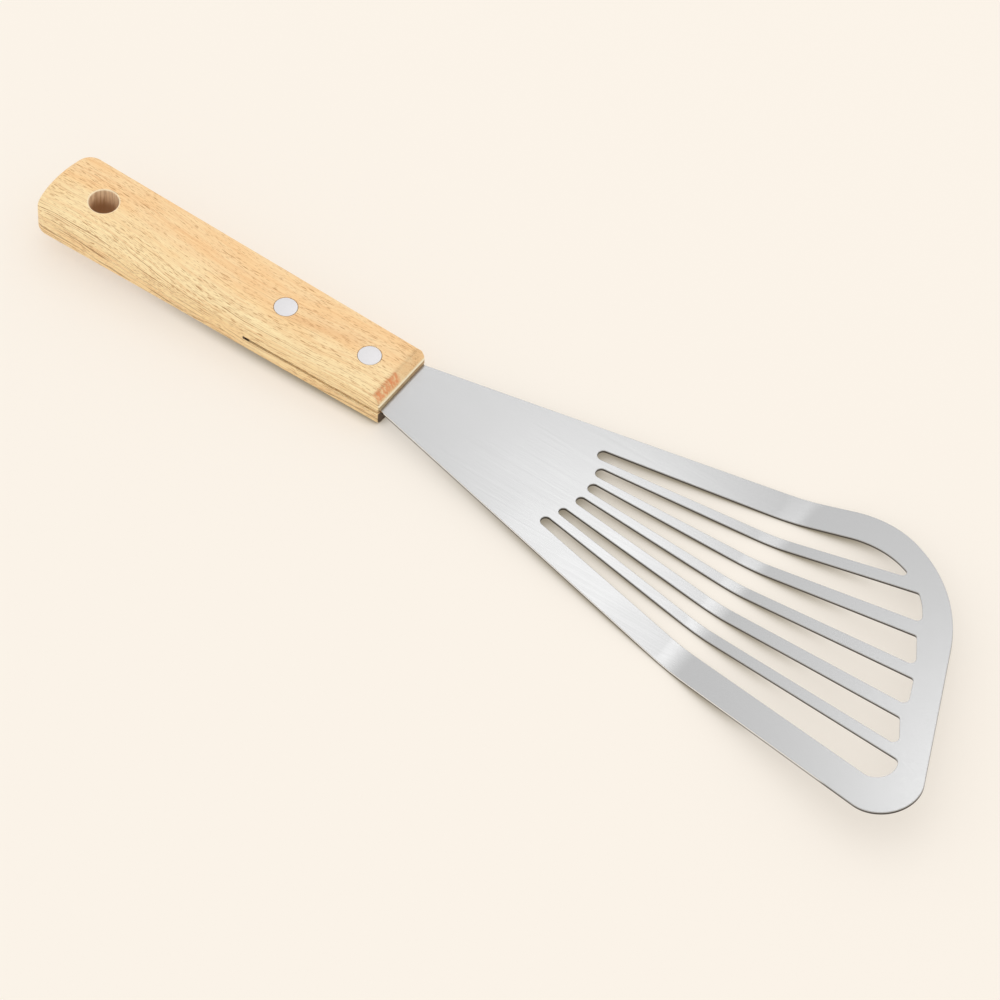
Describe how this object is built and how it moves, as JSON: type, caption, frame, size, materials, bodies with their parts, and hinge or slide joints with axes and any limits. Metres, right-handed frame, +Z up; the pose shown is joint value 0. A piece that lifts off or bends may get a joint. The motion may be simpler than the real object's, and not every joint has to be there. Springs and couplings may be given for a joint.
{
  "type": "fish spatula",
  "caption": "Slotted turner: a thin steel blade, bent and flared with one large round corner, held in a wooden handle by rivets, for lifting and turning delicate food.",
  "frame": {"origin": "on the table under the middle of the part, which rests on the front edge of its handle and on the bend of its blade", "axes": "+X along the handle towards the blade's tip, +Y towards the side with the large round corner, +Z up"},
  "size_m": [0.3188, 0.0906, 0.0172],
  "materials": {
    "blade_steel": "satin, brushed lightly along the blade",
    "handle_wood": "sanded and oiled, fine dark pores along the grain",
    "rivet_metal": "satin, ground flush with the wood"
  },
  "bodies": {
    "root": {"blade": "blade_steel", "handle": "handle_wood", "rivet_front_pin": "rivet_metal", "rivet_front_socket": "rivet_metal", "rivet_rear_pin": "rivet_metal", "rivet_rear_socket": "rivet_metal"}
  },
  "joints": []
}
